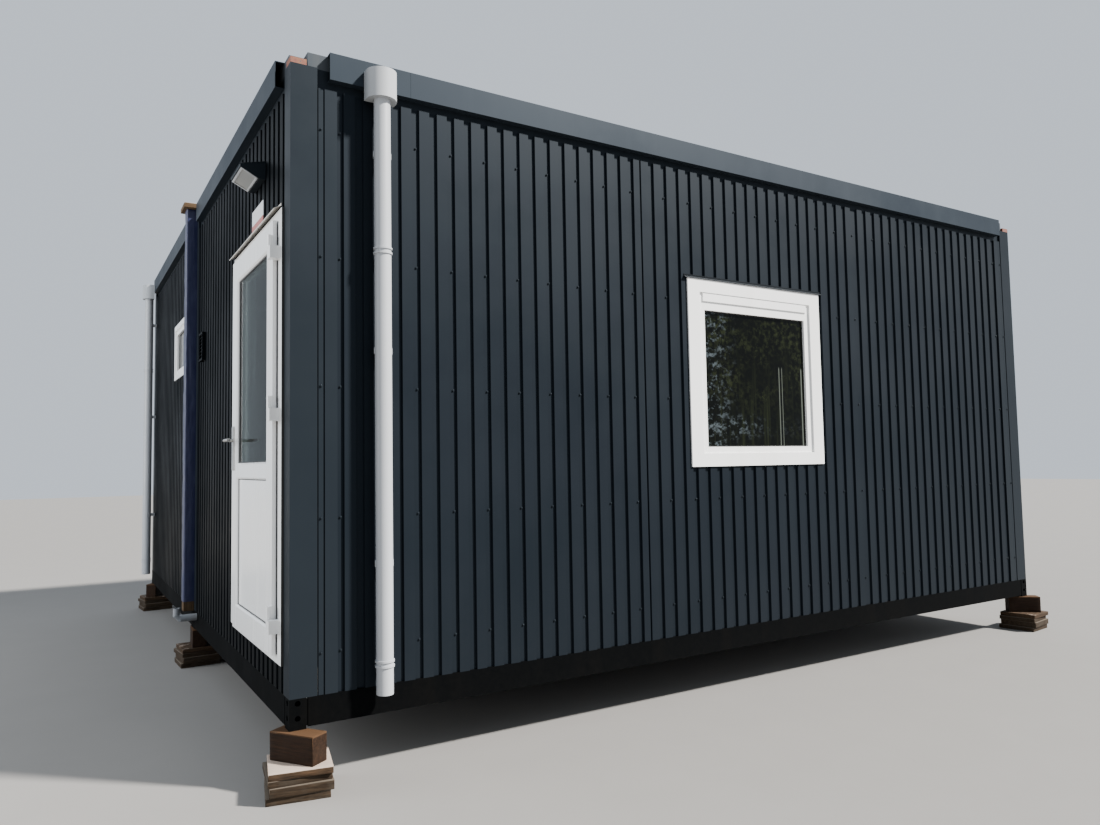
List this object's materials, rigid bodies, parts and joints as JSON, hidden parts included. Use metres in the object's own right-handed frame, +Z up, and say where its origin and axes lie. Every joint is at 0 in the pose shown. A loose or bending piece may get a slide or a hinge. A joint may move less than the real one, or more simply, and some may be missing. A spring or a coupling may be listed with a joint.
{
  "type": "portable garden annex",
  "caption": "Flat-roofed two-module garden annex with ribbed steel walls, a glazed side door on hinges, windows and downpipes, standing on timber blocks.",
  "frame": {"origin": "centre of the bounding box on the ground, under the lowest planks", "axes": "+X along the long front from the door end, +Y from the window front to the back, +Z up"},
  "size_m": [6.255, 5.9942, 3.427],
  "materials": {
    "painted_timber": "rough",
    "weathered_timber": "rough",
    "brown_timber": "rough",
    "seam_timber": "rough",
    "frame_steel": "satin",
    "post_steel": "satin",
    "primer_steel": "matt",
    "cladding_steel": "satin",
    "fascia_steel": "satin",
    "floor_board": "satin",
    "lining_board": "matt",
    "roof_sheet": "satin",
    "wrap_cloth": "woven",
    "white_plastic": "gloss",
    "white_metal": "satin",
    "window_glass": "clear",
    "dark_trim": "satin",
    "handle_steel": "brushed",
    "pale_lens": "matt",
    "pipe_plastic": "gloss",
    "head_metal": "satin"
  },
  "bodies": {
    "building": {"support_planks_lowest": "weathered_timber", "support_planks_second": "weathered_timber", "support_planks_third": "weathered_timber", "support_planks_top": "painted_timber", "support_blocks": "brown_timber", "base_castings": "frame_steel", "base_beams": "frame_steel", "floor_joists": "frame_steel", "floors": "floor_board", "corner_posts": "post_steel", "corner_plates": "primer_steel", "top_rails": "frame_steel", "ceilings": "lining_board", "roof_decks": "roof_sheet", "joint_covers": "lining_board", "roof_seam_board": "seam_timber", "front_wall": "lining_board", "back_wall": "lining_board", "left_walls": "lining_board", "over_door_wall": "lining_board", "right_walls": "lining_board", "front_cladding": "cladding_steel", "back_cladding": "cladding_steel", "left_cladding": "cladding_steel", "right_cladding": "cladding_steel", "edge_flashings": "cladding_steel", "fascias": "fascia_steel", "joint_battens": "seam_timber", "left_joint_wrap": "wrap_cloth", "right_joint_wrap": "wrap_cloth", "front_window_frame": "white_plastic", "front_window_sash": "white_plastic", "front_window_vent": "white_plastic", "front_window_glass": "window_glass", "small_window_frame": "white_plastic", "small_window_sash": "white_plastic", "small_window_glass": "window_glass", "rain_caps": "dark_trim", "door_frame": "white_metal", "frame_hinges": "white_metal", "lamp_housing": "dark_trim", "lamp_lens": "pale_lens", "wall_vent": "white_plastic", "rainwater_heads": "head_metal", "front_downpipe": "pipe_plastic", "end_downpipe": "pipe_plastic", "pipe_brackets": "head_metal", "waste_pipes": "pipe_plastic"},
    "door": {"door_leaf": "white_metal", "door_panel": "white_metal", "door_glass": "window_glass", "leaf_hinges": "white_metal", "outside_handle": "handle_steel", "inside_handle": "handle_steel"}
  },
  "joints": [
    {"name": "door_hinge", "type": "hinge", "parent": "building", "child": "door", "pos_m": [-3.04261, -2.64039, 1.6], "axis": [0, 0, 1], "range_deg": [0, 100]}
  ]
}
